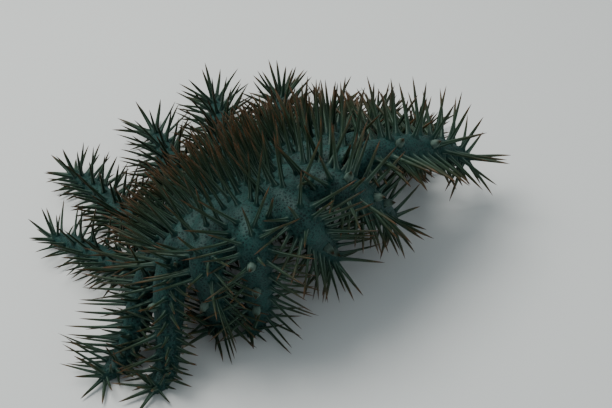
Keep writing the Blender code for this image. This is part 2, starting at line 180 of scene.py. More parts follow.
# Spines of the disc: short and close in the middle, long and wide apart at the rim
DISC_SPINE = 0.027
RIM_SPINE = 0.033
DISC_SPACING = 0.0058
RIM_SPACING = 0.0088
LAST_RING = 0.96
RING_STEP = 0.9
RING_WANDER = 0.0012
TURN_WANDER = 0.22
DISC_LENGTH_VARIES = (0.84, 1.10)
DISC_SIZE_VARIES = (0.85, 1.10)
DISC_WARMTH = (0.45, 1.0)
COOLER_RIM = 0.35

# On the right the spines are stouter, and on the near right some are missing
RIGHT_SIDE_STARTS = 0.02
RIGHT_SIDE_ENDS = 0.08
THICKER_RIGHT = 0.38
SHORTER_RIGHT = 0.04
OPEN_DIRECTION = -55.0
OPEN_REACH = 78.0
OPEN_FROM = 0.34
OPEN_SHARE = 0.42

# Rows of arm spines: degrees from the ridge, first and last place on the left and then on the
# right, spacing, length, lean and curl
ARM_ROWS = (
    (0.0, (0.10, 0.92), 0.0140, 0.029, -0.40, 0.00),
    (32.0, (0.06, 0.94), (0.10, 0.94), 0.0125, 0.032, -0.10, 0.06),
    (60.0, (0.10, 0.96), (0.13, 0.96), 0.0082, 0.033, 0.10, 0.16),
    (86.0, (0.16, 0.97), (0.13, 0.97), 0.0066, 0.029, 0.16, 0.20),
    (106.0, (0.14, 0.97), (0.16, 0.97), 0.0058, 0.021, 0.16, 0.20),
    (122.0, (0.10, 0.97), (0.12, 0.97), 0.0050, 0.011, 0.10, 0.10),
)

# Rows of the arms on the near side, whose ridges are bare but for regrowing spines
NEAR_ROWS = (
    (47.0, (0.02, 0.94), (0.05, 0.94), 0.0072, 0.031, 0.00, 0.10),
    (70.0, (0.06, 0.96), (0.03, 0.96), 0.0064, 0.029, 0.08, 0.12),
    (92.0, (0.12, 0.97), (0.16, 0.97), 0.0056, 0.025, 0.16, 0.18),
    (110.0, (0.14, 0.97), (0.12, 0.97), 0.0052, 0.018, 0.16, 0.18),
    (124.0, (0.12, 0.97), (0.10, 0.97), 0.0050, 0.011, 0.10, 0.10),
)

# Rows added to those: along the outer ridges of the long-sided arms, and at the others' hips
OUTER_RIDGE_ROWS = ((17.0, (0.34, 0.95), (0.30, 0.95), 0.0105, 0.025, -0.05, 0.06),)
HIP_ROWS = ((20.0, (0.03, 0.16), (0.00, 0.12), 0.0100, 0.027, -0.35, 0.00),)

# How single arms, named by their numbers, differ from the rows
BARE_RIDGES = (10, 11, 12, 13, 14, 15)
NEAR_THINNER = 0.90
LONG_SIDED = (10, 11)
LONGER_LEFT_SIDES = 1.20
SHORTER_RIGHT_SIDES = 0.80
CLOSER_SIDES = 0.80
LEFT_LEAN = 0.34
SHORT_ROWED = (8, 9)
SHORTER_ROWS = 0.85
STOUT_ARM = 1
LONGER_STOUT = 1.18
BARE_FLANK = (32.0, 60.0)
BARE_UNTIL = 0.68
FAR_ARMS = (5, 6, 7, 8)
FAR_THICKER = 1.24

# Placing a row's spines
FIRST_PLACE, LAST_PLACE = 0.02, 0.985
ROW_WANDER = 0.18
ROW_TURN_WANDER = 3.0
OUTWARD_LEAN = 0.5
LOW_ROOT = 0.010
LOW_SIDES = 110.0
LOW_LIFT = 0.22
OUTWARD_TAPER = 0.22
ROW_VARIES = (0.88, 1.08)
SHORT_SPINE = 0.02
THINNER_SHORT = 0.9
ROW_WARMTH = (0.10, 0.75)
ARMS_TO_GROUP = 3

# The tuft at an arm's tip
TIP_TUFT = 34
TUFT_SPACING = 0.0018
TUFT_THICKNESS = 1.08
TUFT_TURN = 137.5
TUFT_LEAST_SPREAD, TUFT_SPREAD = 14.0, 62.0
TUFT_AT = 0.965
TUFT_RADIUS = 0.004
TUFT_MARK = 0.99
TUFT_SPINE = (0.020, 0.029)
SHORT_TUFT_SPINE = (0.015, 0.022)
SHORT_TUFTS = (8, 9, 10, 11)
FAR_TUFT_SPINE = (0.023, 0.029)
FAR_TUFTS = (5, 6)
LOW_TUFT = 0.012
TUFT_LIFT = 0.30
FAR_TUFT_LIFT = 1.15
TUFT_WARMTH = (0.2, 0.8)
BROWN_TUFTS = (1, 12, 13, 14, 15)
BROWN_TUFT_WARMTH = (0.55, 1.0)

# Short regrowing spines with pale round ends: arm, place along it and degrees from the ridge
STUBS = (
    (13, 0.16, 4.0), (13, 0.33, 4.0), (13, 0.50, 6.0), (14, 0.50, 0.0), (14, 0.72, 0.0),
    (15, 0.12, 0.0), (15, 0.42, 0.0), (15, 0.66, 0.0), (1, 0.30, 34.0), (1, 0.58, 34.0),
    (12, 0.36, 0.0), (11, 0.30, 0.0),
)
STUB_PROFILE = (
    (-0.2, 2.9), (0.0, 2.4), (0.14, 2.0), (0.30, 1.95), (0.46, 1.8), (0.60, 1.35),
    (0.74, 0.85), (0.88, 0.45), (1.0, 0.06),
)
STUB_LENGTH = 0.0085
STUB_SIZE = 1.35
STUB_FACING = (0.0, -0.79, 0.62)
STUB_SEARCH = 0.009

# Rings of spines under the disc: radius, number, length, and how their ends spread; the first
# leans over the mouth
UNDER_RINGS = (
    (0.0155, 30, 0.008, 0.9), (0.022, 30, 0.009, 1.02), (0.030, 30, 0.010, 1.02),
    (0.039, 45, 0.011, 1.02), (0.048, 60, 0.012, 1.02),
)
UNDER_WANDER = 1.5
UNDER_LENGTH_VARIES = (0.85, 1.1)
UNDER_SIZE = 0.82
UNDER_WARMTH = (0.0, 0.3)
UNDER_STEP = 0.01

# Tube feet, along the furrows under the arms and on under the disc
FOOT_PROFILE = (
    (0.0, 1.15), (0.25, 1.0), (0.55, 0.85), (0.78, 0.80), (0.90, 1.25), (0.97, 1.45), (1.0, 1.2),
)
FOOT_SIDES = 8
FOOT_RADIUS = 0.00062
FOOT_SPACING = 0.0034
FOOTED_SHARE = 0.92
FIRST_FOOT, FEET_RUN = 0.05, 0.91
FOOT_ROOT_SIDE = 0.15
FOOT_ROOT_DEPTH = 0.62
FOOT_SPLAY = 0.32
FOOT_DROP = 0.35
LONGER_FOOT = 0.0025
FURROW_TURN = 144.0
DISC_FEET = 11
FIRST_DISC_FOOT = 0.017
DISC_FOOT_SIDE = 0.0012
DISC_FOOT_SPLAY = 2.2
DISC_FOOT_SUNK = 0.0024
DISC_FOOT_FALL = 0.004
DISC_FOOT_LENGTHS = (0.0045, 0.0075)
FOOT_CLEARANCE = 0.0004
SHORTEST_FOOT = 0.0012

# The mouth: radius and height of each ring, its plates and its folds
MOUTH_SHAPE = (
    (0.0143, 0.0006), (0.0136, -0.0010), (0.0122, -0.0030), (0.0100, -0.0040), (0.0080, -0.0036),
    (0.0062, -0.0022), (0.0048, -0.0006), (0.0034, 0.0004), (0.0022, 0.0016), (0.0010, 0.0030),
)
MOUTH_AROUND = 180
PLATES_FROM = 0.007
PLATE_LIFT = 0.0008
FOLD_LIFT = 0.0003
FOLD_COUNT = 30.0

# Where on the OFBake map the spines and feet of each part of the body lie: a circle for each
# side of the disc, given as its middle and radius, and a strip for each arm
BACK_CIRCLE = (0.25, 0.75, 0.225)
UNDER_CIRCLE = (0.75, 0.75, 0.22)
STRIP_TURN = 290.0
STRIP_START, STRIP_RUN = 0.02, 0.44

# Looks. Colours are linear; a stop of a ramp is a place and a colour, or a place and a grey
SKIN_TONES = (
    (0.30, (0.003, 0.017, 0.0155)), (0.50, (0.005, 0.029, 0.026)), (0.70, (0.008, 0.042, 0.037)),
)
SKIN_BEND = 0.0012
PAPULA_SCALE = 620.0
PAPULA_DOTS, PAPULA_DEPTH = ((0.16, 1.0), (0.36, 0.0)), 0.85
MESH_LINES, MESH_DEPTH = ((0.02, 1.0), (0.14, 0.0)), 0.38
SKIN_ROUGHNESS = ((0.3, 0.50), (0.7, 0.68))
DOT_HEIGHT, GRAIN_HEIGHT = 0.8, 0.35
GRAIN_DEPTH, FOOT_GRAIN_DEPTH = 0.35, 0.3
SKIN_MESH = (0.036, 0.090, 0.079, 1.0)
PAPULAE = (0.003, 0.008, 0.009, 1.0)
SHEATH = ((0.0, (0.005, 0.031, 0.026)), (0.12, (0.011, 0.034, 0.024)))
COOL_SPINE = (
    *SHEATH, (0.30, (0.011, 0.034, 0.018)), (0.55, (0.012, 0.027, 0.013)),
    (0.80, (0.018, 0.023, 0.011)), (0.93, (0.040, 0.022, 0.010)), (1.0, (0.024, 0.013, 0.007)),
)
WARM_SPINE = (
    *SHEATH, (0.30, (0.013, 0.036, 0.019)), (0.54, (0.020, 0.038, 0.017)),
    (0.72, (0.040, 0.040, 0.017)), (0.87, (0.106, 0.050, 0.017)), (1.0, (0.064, 0.029, 0.011)),
)
# Painted highlight: thin pale lines along the lower part of each spine, standing in for the
# sheath's lit edges
PAINTED_EDGE_HIGHLIGHT = (0.120, 0.175, 0.140, 1.0)
PAINTED_HIGHLIGHT_TURNS = 25.13
PAINTED_HIGHLIGHT_SHARPNESS = 3.0
PAINTED_HIGHLIGHT_PART = ((0.02, 0.0), (0.08, 1.0), (0.34, 0.7), (0.60, 0.0))
BULB_PART = ((0.10, 0.0), (0.22, 1.0), (0.55, 1.0), (0.80, 0.0))
PALE_DEPTH = 0.75
COLOUR_WANDER = 0.22
SPINE_ROUGHNESS = ((0.0, 0.62), (0.6, 0.50), (1.0, 0.42))
BULBS = (0.098, 0.150, 0.128, 1.0)
FOOT_TONES = (
    (0.0, (0.05, 0.05, 0.03)), (0.7, (0.09, 0.08, 0.05)), (0.88, (0.20, 0.17, 0.11)),
    (1.0, (0.16, 0.14, 0.09)),
)
MOUTH_TONES = ((0.3, (0.16, 0.12, 0.07)), (0.6, (0.36, 0.29, 0.19)), (0.8, (0.46, 0.39, 0.28)))
SHEEN_OF_SKIN = (0.55, 0.85, 0.80, 1.0)
SHEEN_OF_SPINES = (0.70, 0.90, 0.78, 1.0)
FLOOR_COLOUR = (0.62, 0.64, 0.63, 1.0)
SKY_COLOUR = (0.80, 0.90, 0.95, 1.0)
SKY_STRENGTH = 0.40
FLOOR_HALF = 4.0

# Inputs and output of a colour Mix node
MIX_FACTOR, MIX_FIRST, MIX_SECOND, MIX_RESULT = 0, 6, 7, 2

# Studio lights: name, place, power and colour
LIGHT_SIZE = 0.9
LIGHTS = (
    ("key", (-0.35, 0.35, 1.15), 18.5, (1.0, 0.98, 0.94)),
    ("fill", (0.5, -0.9, 0.6), 3.2, (0.90, 0.96, 1.0)),
)

CAMERA_FOCAL = 1200.0
PHOTO_WIDTH, PHOTO_HEIGHT = 612, 408
CAMERA_ELEVATION = 38.0
CAMERA_ROLL = -12.0
CAMERA_DISTANCE = 0.75
TARGET_PIXEL = (243.0, 232.0)
SENSOR_WIDTH = 36.0
NEAR_CLIP, FAR_CLIP = 0.01, 20.0

SEED = 11
draw = random.Random(SEED)


def polar(radius, degrees):
    angle = math.radians(degrees)
    return radius * math.cos(angle), radius * math.sin(angle)


def scatter(spread):
    """A small vector drawn by chance."""
    return Vector([draw.gauss(0.0, spread) for _ in range(3)])


def disc_point(radius, degrees, offset=0.0):
    """A point of the disc, offset along its thickness, once it is humped and tilted."""
    along, across = polar(radius, degrees - FOLD_DIRECTION)
    bend = LEFT_BEND_RADIUS if across > 0.0 else RIGHT_BEND_RADIUS
    turn_a, turn_b = along / LONG_BEND_RADIUS, across / bend
    x = LONG_BEND_RADIUS * math.sin(turn_a)
    y = bend * math.sin(turn_b)
    z = LONG_BEND_RADIUS * (math.cos(turn_a) - 1) + bend * (math.cos(turn_b) - 1)
    normal = Vector((math.sin(turn_a), math.sin(turn_b), math.cos(turn_a) * math.cos(turn_b)))
    point = Vector((x, y, z)) + normal.normalized() * offset
    pitch, tilt = math.radians(DISC_PITCH), math.radians(DISC_TILT)
    x, y, z = point
    x, z = x * math.cos(pitch) - z * math.sin(pitch), x * math.sin(pitch) + z * math.cos(pitch)
    y, z = y * math.cos(tilt) - z * math.sin(tilt), y * math.sin(tilt) + z * math.cos(tilt)
    fold = math.radians(FOLD_DIRECTION)
    plan_x = x * math.cos(fold) - y * math.sin(fold) + DISC_PLAN_OFFSET[0] + FOOTPRINT_SHIFT[0]
    plan_y = x * math.sin(fold) + y * math.cos(fold) + DISC_PLAN_OFFSET[1] + FOOTPRINT_SHIFT[1]
    return Vector((plan_x, plan_y, z + DISC_HEIGHT))


def rim_share(radius):
    """Share of the full thickness that the disc has at this radius."""
    return math.sqrt(max(0.0, 1.0 - min(1.0, radius / DISC_RADIUS) ** RIM_POWER))


def flute(degrees):
    """1 along the middle of an arm, -1 half way between two arms."""
    return math.cos(math.radians(ARM_COUNT * (degrees - FIRST_ARM_ROOT)))


def disc_surface(radius, degrees, side, grow=0.0):
    """A point on the disc's skin: its rim draws in between the arms, its back swells along them."""
    share = min(1.0, radius / DISC_RADIUS)
    ridge = RIDGE_SWELL * flute(degrees) * share ** 2 if side > 0 else 0.0
    half = (0.5 * DISC_THICKNESS + ridge) * rim_share(radius) + grow
    drawn = radius * (1.0 - 0.5 * WEB_DIP * (1.0 - flute(degrees)) * share ** 4)
    return disc_point(drawn + grow * share ** 4, degrees, side * half)


def disc_top(radius, degrees):
    return disc_surface(radius, degrees, 1.0)


def disc_top_normal(radius, degrees):
    radius = max(radius, STEP)
    outward = disc_top(radius + STEP, degrees) - disc_top(radius - STEP, degrees)
    turn = math.degrees(STEP / radius)
    around = disc_top(radius, degrees + turn) - disc_top(radius, degrees - turn)
    return outward.cross(around).normalized()


class Arm:
    """One arm's centre line and cross-section, as in the solids."""

    def __init__(self, index):
        direction, distance, height, upturn, rise = ARM_TIPS[index]
        self.index = index
        self.number = index + 1
        self.group = f"arm_spines_{index // ARMS_TO_GROUP + 1}"
        self.root_degrees = FIRST_ARM_ROOT + index * 360.0 / ARM_COUNT
        start = disc_point(ARM_ROOT_RADIUS, self.root_degrees)
        lead = disc_point(ARM_ROOT_RADIUS - STEP, self.root_degrees)
        tip_x, tip_y = polar(distance, direction)
        tip = Vector((tip_x + FOOTPRINT_SHIFT[0], tip_y + FOOTPRINT_SHIFT[1], height))
        span = (tip - start).length
        middle = disc_point(0.0, 0.0)
        heading = Vector((tip.x - middle.x, tip.y - middle.y, 0.0)).normalized()
        lift = math.radians(upturn)
        end = heading * math.cos(lift) + Vector((0.0, 0.0, math.sin(lift)))
        leave = (start - lead).normalized()
        fall = (start.z - tip.z) / span
        leave = (leave + Vector((0.0, 0.0, rise - ROOT_DROOP * fall ** 2))).normalized()
        above = disc_point(ARM_ROOT_RADIUS, self.root_degrees, STEP) - start
        self.root_side = leave.cross(above).normalized()
        self.tip_side = heading.cross(Vector((0.0, 0.0, 1.0)))
        press = tip - end * span * ARM_HANDLE
        reach = start + leave * span * ARM_HANDLE
        reach.z = max(reach.z, LOWEST_REACH)
        self.points = (start, reach, press, tip)
        if height < RAISED_TIP:
            run = 1.0 - SOLE_STARTS
            outer = [SOLE_STARTS + run * i / ARM_SAMPLES for i in range(ARM_SAMPLES + 1)]
            for _ in range(SOLE_ROUNDS):
                lowest = min(point.z for t in outer for point in self.outline(t, (0.0, 90.0)))
                press.z -= lowest + SOLE_DEPTH
        line = [self.centre(i / ARM_SAMPLES) for i in range(ARM_SAMPLES + 1)]
        self.length = sum((after - before).length for before, after in zip(line, line[1:]))

    def centre(self, t):
        a, b, c, d = self.points
        s = 1.0 - t
        return a * s ** 3 + b * (3 * s * s * t) + c * (3 * s * t * t) + d * t ** 3

    def frame(self, t):
        low, high = max(0.0, t - FRAME_STEP), min(1.0, t + FRAME_STEP)
        forward = (self.centre(high) - self.centre(low)).normalized()
        side = self.root_side.lerp(self.tip_side, t)
        side = (side - forward * side.dot(forward)).normalized()
        return forward, side, side.cross(forward)

    def half_sizes(self, t):
        if t < WIDEST_AT:
            change = ARM_MID_HALF_WIDTH - ARM_ROOT_HALF_WIDTH
            width = ARM_ROOT_HALF_WIDTH + change * t / WIDEST_AT
        else:
            share = (t - WIDEST_AT) / (1.0 - WIDEST_AT)
            change = ARM_TIP_HALF_WIDTH - ARM_MID_HALF_WIDTH
            width = ARM_MID_HALF_WIDTH + change * share ** WIDTH_TAPER
        height = ARM_ROOT_HALF_HEIGHT + (ARM_TIP_HALF_HEIGHT - ARM_ROOT_HALF_HEIGHT) * t
        rounding = max(0.0, t - TIP_ROUNDS_FROM) / (1.0 - TIP_ROUNDS_FROM)
        end = math.sqrt(max(TIP_BLUNTNESS ** 2, 1.0 - rounding ** 2))
        return width * end, height * end

    def section(self, t):
        """Middle, sideways and upward directions, half width and half height."""
        _, side, up = self.frame(t)
        return self.centre(t), side, up, *self.half_sizes(t)

    def surface(self, t, degrees):
        centre, side, up, width, height = self.section(t)
        angle = math.radians(degrees)
        return centre + side * (width * math.sin(angle)) + up * (height * math.cos(angle))

    def normal(self, t, degrees):
        _, side, up, width, height = self.section(t)
        angle = math.radians(degrees)
        return (side * (math.sin(angle) / width) + up * (math.cos(angle) / height)).normalized()

    def outline(self, t, turns):
        """Corners of the section: round the back to the flat sole and its furrow."""
        centre, side, up, width, height = self.section(t)
        corners = [(math.sin(math.radians(turn)), math.cos(math.radians(turn))) for turn in turns]
        corners += [(SOLE_OUTER, -1.0), (SOLE_INNER, -1.0)]
        groove = (0.0, -1.0 + GROOVE_DEPTH)
        corners += [groove] + [(-x, y) for x, y in corners[:0:-1]]
        return [centre + side * (width * x) + up * (height * y) for x, y in corners]


def bridge(bm, rings):
    """Faces between each ring of vertices and the next."""
    for lower, upper in zip(rings, rings[1:]):
        for i in range(len(lower)):
            j = (i + 1) % len(lower)
            bm.faces.new((lower[i], lower[j], upper[j], upper[i]))


def loft(bm, rings):
    """Skin a list of rings of points, closed at both ends."""
    made = [[bm.verts.new(point) for point in ring] for ring in rings]
    bridge(bm, made)
    bm.faces.new(made[0][::-1])
    bm.faces.new(made[-1])


def under_groove(radius, degrees):
    """Depth of the tube feet's furrow on the disc's underside."""
    pitch = 360.0 / ARM_COUNT
    off = (degrees - FIRST_ARM_ROOT + 0.5 * pitch) % pitch - 0.5 * pitch
    across = radius * math.radians(off)
    ends = min(1.0, max(0.0, (radius - UNDER_GROOVE_START) / UNDER_GROOVE_RUN))
    return UNDER_GROOVE_DEPTH * ends * math.exp(-(across / UNDER_GROOVE_WIDTH) ** 2)


def disc_body(bm):
    """The disc as a closed shell of rings, its furrows sunk into the underside."""
    rows = []
    for i in range(1, DISC_RINGS):
        share = math.sin(math.pi * i / DISC_RINGS)
        side = math.copysign(1.0, math.cos(math.pi * i / DISC_RINGS))
        radius = math.sin(0.5 * math.pi * share ** RIM_CROWDING) * DISC_RADIUS
        row = []
        for j in range(DISC_AROUND):
            degrees = 360.0 * j / DISC_AROUND
            sunk = under_groove(radius, degrees) if side < 0 else 0.0
            row.append(bm.verts.new(disc_surface(radius, degrees, side, -sunk)))
        rows.append(row)
    top = bm.verts.new(disc_point(0.0, 0.0, 0.5 * DISC_THICKNESS))
    bottom = bm.verts.new(disc_point(0.0, 0.0, -0.5 * DISC_THICKNESS))
    for upper, lower in zip(rows, rows[1:]):
        for j in range(DISC_AROUND):
            k = (j + 1) % DISC_AROUND
            bm.faces.new((upper[j], lower[j], lower[k], upper[k]))
    for j in range(DISC_AROUND):
        k = (j + 1) % DISC_AROUND
        bm.faces.new((top, rows[0][j], rows[0][k]))
        bm.faces.new((bottom, rows[-1][k], rows[-1][j]))


def ridge_rings(degrees):
    """The arm's back carried on over the disc as a low ridge that fades towards the middle."""
    rings = []
    for i in range(RIDGE_STATIONS + 1):
        share = i / RIDGE_STATIONS
        radius = RIDGE_START + (RIDGE_REACH - RIDGE_START) * share
        half_width = RIDGE_HALF_WIDTH - RIDGE_NARROWING * share
        rise = RIDGE_RISE * (1.0 - share) ** RIDGE_FADE
        swell = RIDGE_SWELL * (radius / DISC_RADIUS) ** 2
        top = (0.5 * DISC_THICKNESS + swell) * max(rim_share(radius), RIDGE_LEAST_SHARE)
        ring = []
        for j in range(RIDGE_AROUND):
            angle = 2.0 * math.pi * j / RIDGE_AROUND
            turn = math.degrees(half_width * math.sin(angle) / radius)
            height = top + rise - RIDGE_HALF_HEIGHT + RIDGE_HALF_HEIGHT * math.cos(angle)
            ring.append(disc_point(radius, degrees + turn, height))
        rings.append(ring)
    return rings


def arm_rings(arm):
    """The arm's outline at each station, raised at the hip and a little slimmer than the solid."""
    rings = []
    for i in range(ARM_STATIONS + 1):
        t = i / ARM_STATIONS
        ring = arm.outline(t, BACK_TURNS)
        centre, side, up, width, height = arm.section(t)
        rise = HIP_RISE * max(0.0, 1.0 - t / HIP_REACH) ** HIP_FADE
        ring = [point + up * (rise * max(0.0, (point - centre).dot(up) / height)) for point in ring]
        slim = SLIMMER * max(0.0, 1.0 - t / SLIM_UNTIL)
        ring = [point - side * (slim * (point - centre).dot(side) / width) for point in ring]
        for point in ring:
            if point.z < SOLE_BAND:
                point.z = 0.0
        rings.append(ring)
    return rings


def apply_modifiers(target):
    """Replace an object's mesh by what its modifiers make of it."""
    depsgraph = bpy.context.evaluated_depsgraph_get()
    mesh = bpy.data.meshes.new_from_object(target.evaluated_get(depsgraph))
    target.modifiers.clear()
    old = target.data
    target.data = mesh
    bpy.data.meshes.remove(old)


def smooth_modifier(target, rounds):
    made = target.modifiers.new("smooth", "SMOOTH")
    made.factor = 0.5
    made.iterations = rounds
    return made


def new_object(name, data):
    made = bpy.data.objects.new(name, data)
    bpy.context.scene.collection.objects.link(made)
    return made


def soften_hips(skin):
    """Smooth the skin again where the arms leave the disc's rim."""
    rim = KDTree(RIM_MARKS)
    for i in range(RIM_MARKS):
        rim.insert(disc_point(DISC_RADIUS, 360.0 * i / RIM_MARKS), i)
    rim.balance()
    hips = skin.vertex_groups.new(name="hips")
    for vert in skin.data.vertices:
        _, _, gap = rim.find(vert.co)
        if gap < HIP_RADIUS:
            hips.add([vert.index], (1.0 - gap / HIP_RADIUS) ** 0.5, "REPLACE")
    smooth_modifier(skin, HIP_SMOOTHING).vertex_group = "hips"
    apply_modifiers(skin)
    skin.vertex_groups.clear()


def read_vectors(vertices, key):
    values = np.zeros(len(vertices) * 3, np.float32)
    vertices.foreach_get(key, values)
    return values.reshape(-1, 3)


def skin_object(arms):
    """Disc, ridges and arms melted into one skin, with no seam."""
    bm = bmesh.new()
    disc_body(bm)
    for arm in arms:
        loft(bm, arm_rings(arm))
        loft(bm, ridge_rings(arm.root_degrees))
    bmesh.ops.recalc_face_normals(bm, faces=bm.faces)
    mesh = bpy.data.meshes.new("skin")
    bm.to_mesh(mesh)
    bm.free()
    skin = new_object("skin", mesh)
    remesh = skin.modifiers.new("remesh", "REMESH")
    remesh.mode = "VOXEL"
    remesh.voxel_size = SKIN_VOXEL
    smooth_modifier(skin, SKIN_SMOOTHING)
    apply_modifiers(skin)
    soften_hips(skin)
    points = read_vectors(skin.data.vertices, "co")
    normals = read_vectors(skin.data.vertices, "normal")
    lumps = np.array([noise.fractal(Vector(point) * LUMP_SCALE, 1.0, 2.0, 3) for point in points])
    moved = points + normals * (lumps * LUMP)[:, None]
    low = points[:, 2] < SOLE_BAND
    moved[low] = points[low]
    moved[:, 2] = np.maximum(moved[:, 2], 0.0)
    skin.data.vertices.foreach_set("co", moved.astype(np.float32).ravel())
    skin.data.shade_smooth()
    skin.data.update()
    return skin


def segment_gaps(start, end, starts, ends):
    """Shortest distances from one segment to many."""
    d1, d2, r = end - start, ends - starts, start - starts
    a = d1 @ d1
    e = (d2 * d2).sum(1)
    f = (d2 * r).sum(1)
    b = d2 @ d1
    c = r @ d1
    denominator = np.maximum(a * e - b * b, NEARLY_PARALLEL)
    s = np.clip((b * f - c * e) / denominator, 0.0, 1.0)
    t = np.clip((b * s + f) / e, 0.0, 1.0)
    s = np.clip((b * t - c) / a, 0.0, 1.0)
    return np.linalg.norm(start + s[:, None] * d1 - starts - t[:, None] * d2, axis=1)


class Thicket:
    """Every spine placed so far, rooted on the skin and clear of it and of the others."""

    def __init__(self, skin):
        bm = bmesh.new()
        bm.from_mesh(skin.data)
        self.tree = BVHTree.FromBMesh(bm)
        bm.free()
        self.spines = []
        self.starts = np.zeros((MOST_SPINES, 3))
        self.ends = np.zeros((MOST_SPINES, 3))

    def place(self, group, wanted, direction, curl, length, size, spot, warmth, stub=False,
              loose=LOOSENESS, spacing=ROOT_SPACING, search=ROOT_SEARCH):
        """Root a spine at the skin nearest to the wanted point, if one of its tries is clear."""
        root, normal, _, _ = self.tree.find_nearest(wanted, search)
        if root is None:
            return
        count = len(self.spines)
        starts, ends = self.starts[:count], self.ends[:count]
        if count and np.linalg.norm(starts - np.array(root), axis=1).min() < spacing:
            return
        base = (direction * WANTED_SHARE + normal * NORMAL_SHARE).normalized()
        for attempt in range(TRIES):
            heading = (base + scatter(loose + LOOSER_EACH_TRY * attempt)).normalized()
            reach = length * (1.0 if attempt < FULL_LENGTH_TRIES else SHORTER_REACH)
            tip = root + heading * reach
            if tip.z < LOWEST_TIP or heading.dot(normal) < LEAST_RISE:
                continue
            clear = root + heading * RAY_START + normal * RAY_LIFT
            hit, _, _, _ = self.tree.ray_cast(clear, heading, reach)
            if hit is not None:
                continue
            if count:
                start = np.array(root + heading * GAP_START)
                gaps = segment_gaps(start, np.array(tip), starts, ends)
                if gaps.min() < SPINE_GAP * (1.0 if attempt < FULL_GAP_TRIES else CLOSER_GAP):
                    continue
            self.starts[count], self.ends[count] = root, tip
            lead = (heading + curl).normalized()
            self.spines.append((group, root, heading, lead, reach, size, spot, warmth, stub))
            return


def spot_on_disc(circle, radius, degrees):
    """Place on the map of a spine that stands on one side of the disc."""
    middle_x, middle_y, spread = circle
    x, y = polar(spread * radius / DISC_RADIUS, degrees)
    return middle_x + x, middle_y + y


def spot_on_arm(arm, t, degrees):
    """Place on the map of a spine or foot that stands on an arm."""
    return (arm.index + 0.5 + degrees / STRIP_TURN) / ARM_COUNT, STRIP_START + STRIP_RUN * t


def rightness(point):
    """0 on the left and middle of the body, 1 on its right, where the spines are stouter."""
    right = point.x - FOOTPRINT_SHIFT[0] - RIGHT_SIDE_STARTS
    return min(1.0, max(0.0, right / (RIGHT_SIDE_ENDS - RIGHT_SIDE_STARTS)))


def stub_spines(arms, thicket):
    """The short regrowing spines, which are placed first."""
    for number, t, degrees in STUBS:
        arm = arms[number - 1]
        facing = (arm.normal(t, degrees) + Vector(STUB_FACING)).normalized()
        thicket.place(arm.group, arm.surface(t, degrees), facing, Vector(), STUB_LENGTH,
                      SHAFT_RADIUS * STUB_SIZE, spot_on_arm(arm, t, degrees), 0.0, stub=True,
                      loose=STUB_LOOSENESS, search=STUB_SEARCH)


def disc_spines(thicket):
    """Spines over the disc: close and short in the middle, longer and wider apart outwards."""
    radius, ring = 0.0, 0
    while radius < DISC_RADIUS * LAST_RING:
        share = radius / DISC_RADIUS
        spacing = DISC_SPACING + (RIM_SPACING - DISC_SPACING) * share ** 2
        count = max(1, round(2.0 * math.pi * radius / spacing))
        for i in range(count):
            wander = draw.uniform(-TURN_WANDER, TURN_WANDER) * 360.0 / count
            degrees = 360.0 * (i + 0.5 * (ring % 2)) / count + wander
            out = max(0.0, radius + draw.uniform(-RING_WANDER, RING_WANDER)) if ring else 0.0
            off = (degrees - OPEN_DIRECTION + 180.0) % 360.0 - 180.0
            if abs(off) < OPEN_REACH and share > OPEN_FROM and draw.random() < OPEN_SHARE:
                continue
            root = disc_top(out, degrees)
            right = rightness(root)
            length = DISC_SPINE + (RIM_SPINE - DISC_SPINE) * share
            length *= draw.uniform(*DISC_LENGTH_VARIES)
            length *= 1.0 - SHORTER_RIGHT * right
            size = SHAFT_RADIUS * draw.uniform(*DISC_SIZE_VARIES) * (1.0 + THICKER_RIGHT * right)
            curl = scatter(CURL)
            warmth = draw.uniform(*DISC_WARMTH) * (1.0 - COOLER_RIM * share)
            thicket.place("disc_spines", root, disc_top_normal(out, degrees), curl, length, size,
                          spot_on_disc(BACK_CIRCLE, out, degrees), warmth)
        radius += spacing * RING_STEP
        ring += 1


def rows_of(arm):
    """The arm's rows of spines, changed where the photograph shows that this arm differs."""
    long_sided, stout = arm.number in LONG_SIDED, arm.number == STOUT_ARM
    rows = ARM_ROWS
    if arm.number in BARE_RIDGES:
        rows = NEAR_ROWS + (OUTER_RIDGE_ROWS if long_sided else HIP_ROWS)
    for degrees, *spans, spacing, length, lean, bend in rows:
        spacing *= CLOSER_SIDES if long_sided else 1.0
        length *= SHORTER_ROWS if arm.number in SHORT_ROWED else 1.0
        length *= LONGER_STOUT if stout else 1.0
        for hand, (first, last) in zip((1.0, -1.0), spans):
            turn, reach, tilt = hand * degrees, length, lean
            if stout and turn in BARE_FLANK:
                first = BARE_UNTIL
            if long_sided:
                reach *= LONGER_LEFT_SIDES if turn > 0.0 else SHORTER_RIGHT_SIDES
                tilt += LEFT_LEAN if turn > 0.0 else 0.0
            yield turn, first, last, spacing, reach, tilt, bend


